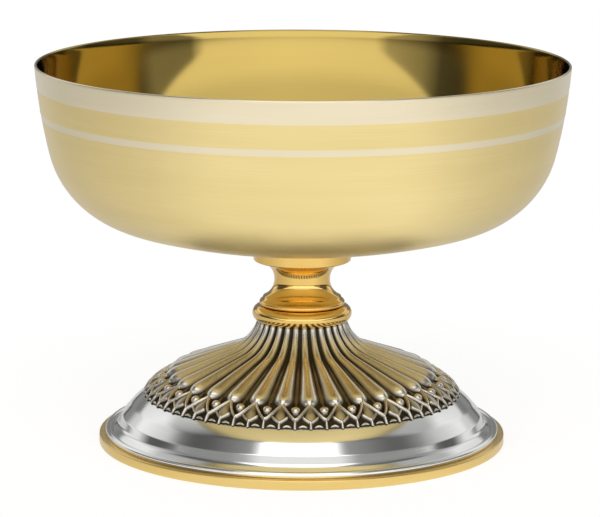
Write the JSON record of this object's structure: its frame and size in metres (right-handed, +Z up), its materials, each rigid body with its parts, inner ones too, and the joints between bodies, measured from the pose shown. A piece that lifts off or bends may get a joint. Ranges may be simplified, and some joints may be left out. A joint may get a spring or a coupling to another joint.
{
  "type": "baptismal bowl",
  "caption": "Footed baptismal bowl: open gilt bowl on a short turned stem, over a silvered foot with gadroons and pointed leaves.",
  "frame": {"origin": "centre of the face that the foot stands on", "axes": "+Z up along the bowl's axis, +X to the viewer's right, -Y towards the viewer"},
  "size_m": [0.178, 0.178, 0.1285],
  "materials": {
    "gilt_brushed": "satin gilt, brushed round; mirror-polished inside",
    "gilt_polished": "mirror-polished gilt",
    "gilt_satin": "satin gilt",
    "silver_antiqued": "silver-plated, darkened in the grooves",
    "silver_polished": "polished silver plate, spun",
    "brass_raw": "turned, unplated",
    "steel_zinc": "zinc-plated"
  },
  "bodies": {
    "root": {"bowl": "gilt_brushed", "bowl_boss": "brass_raw", "stem_spool": "gilt_polished", "node_ring": "gilt_polished", "leaf_mantle": "silver_antiqued", "foot_dome": "silver_polished", "base_ring": "gilt_satin", "tie_rod": "steel_zinc", "cup_washer": "steel_zinc", "spring_washer": "steel_zinc", "clamp_nut": "steel_zinc"}
  },
  "joints": []
}
